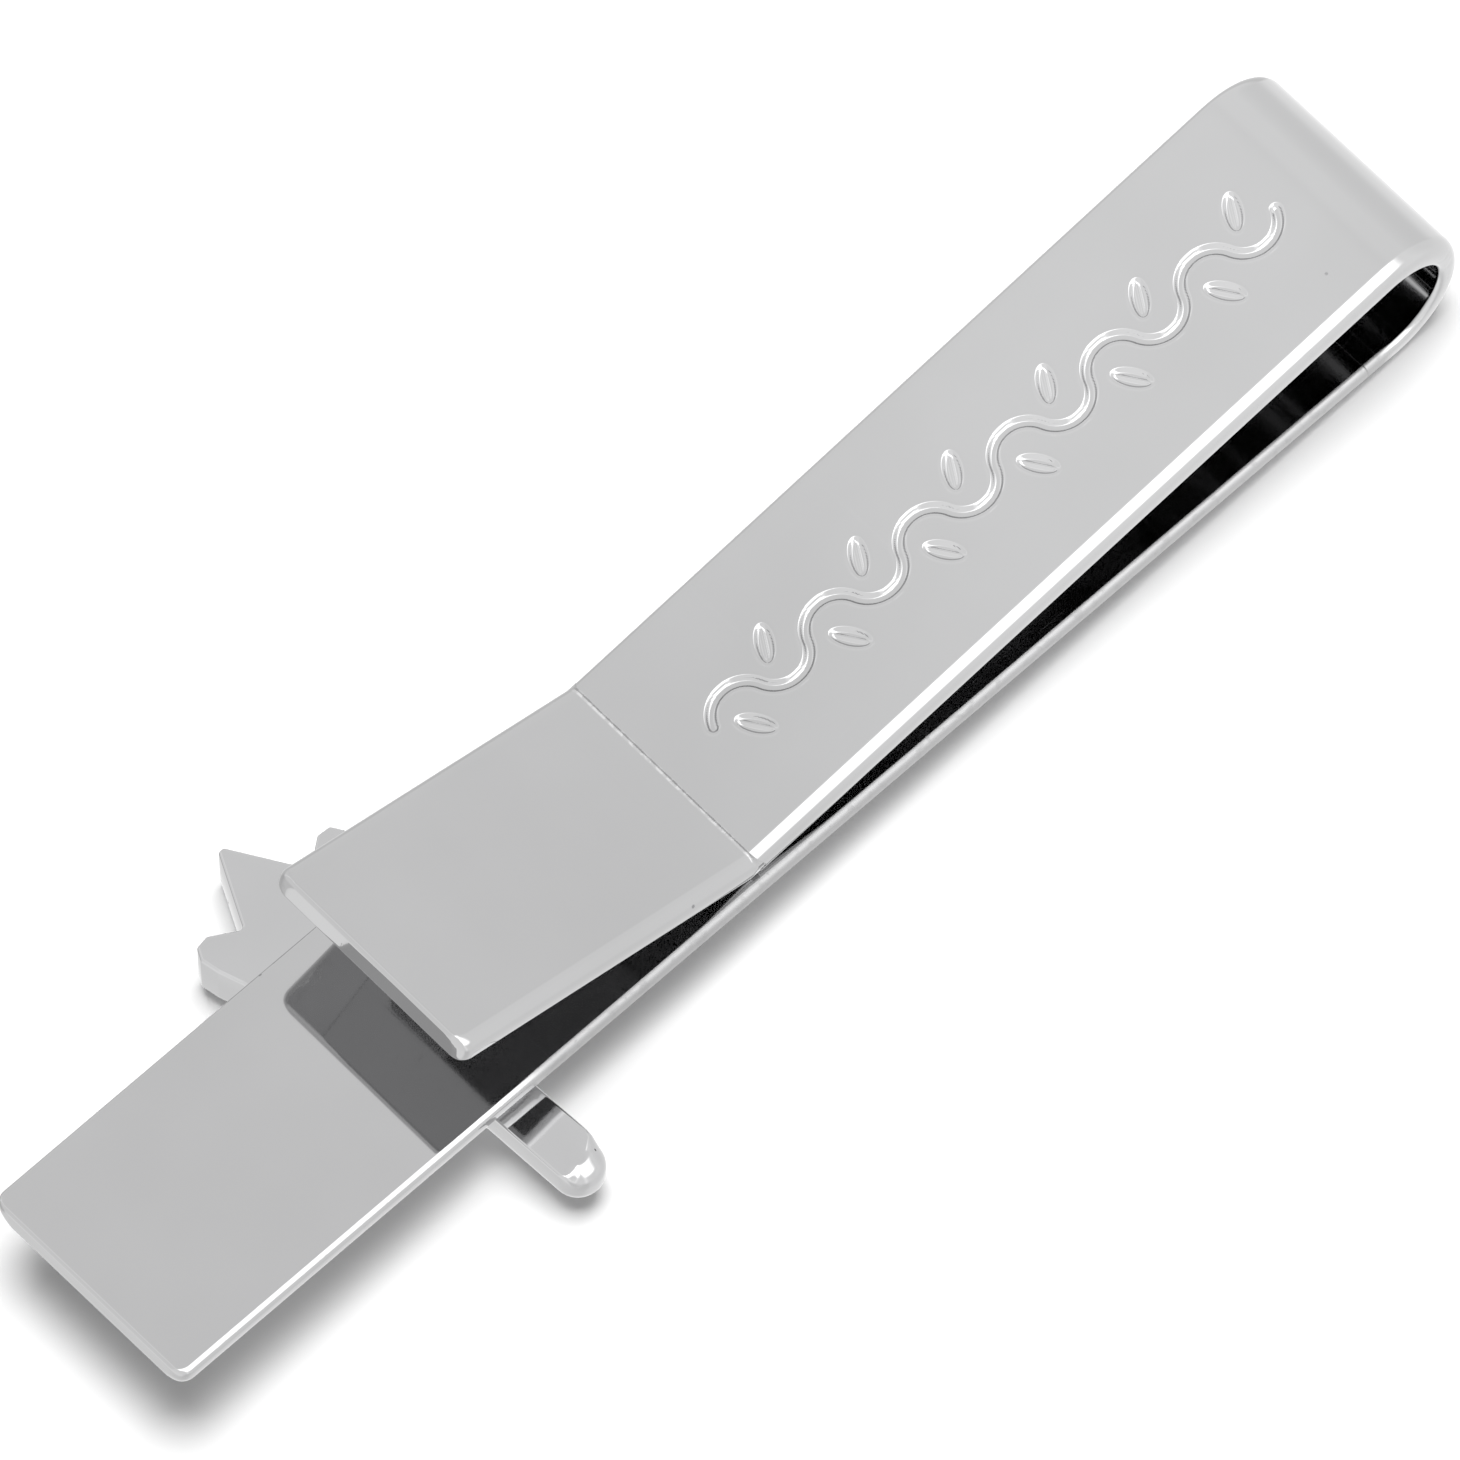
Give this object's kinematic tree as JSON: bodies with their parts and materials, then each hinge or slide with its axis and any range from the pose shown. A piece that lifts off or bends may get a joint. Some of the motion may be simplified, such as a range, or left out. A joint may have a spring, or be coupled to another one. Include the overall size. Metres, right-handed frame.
{
  "type": "tie bar",
  "caption": "Slide-on tie bar: folded polished spring strip with a pinching crease, a flared lip and a leaf ornament across the front.",
  "frame": {"origin": "half way along the bar, on the middle of the front leg's inner face, where the fabric slides in", "axes": "+X along the bar from its free end to the fold, +Y across the bar towards the leaf's tip, +Z from the front leg towards the back leg"},
  "size_m": [0.0496, 0.0147, 0.007],
  "materials": {
    "strip": "high polish, bright plated spring strip with hairline scratches",
    "ornament": "polished plated casting with a satin field between raised veins",
    "solder": "dull silver solder"
  },
  "bodies": {
    "front": {"front_bar": "strip", "spring_bend": "strip", "leaf_ornament": "ornament", "solder_film": "solder"},
    "back": {"back_leg": "strip", "flared_lip": "strip"}
  },
  "joints": [
    {"name": "fold_spring", "type": "hinge", "parent": "front", "child": "back", "pos_m": [0.02193, 0, 0.00397], "axis": [0, 1, 0], "range_deg": [0, 7], "stiffness_Nm_per_rad": 0.05}
  ]
}
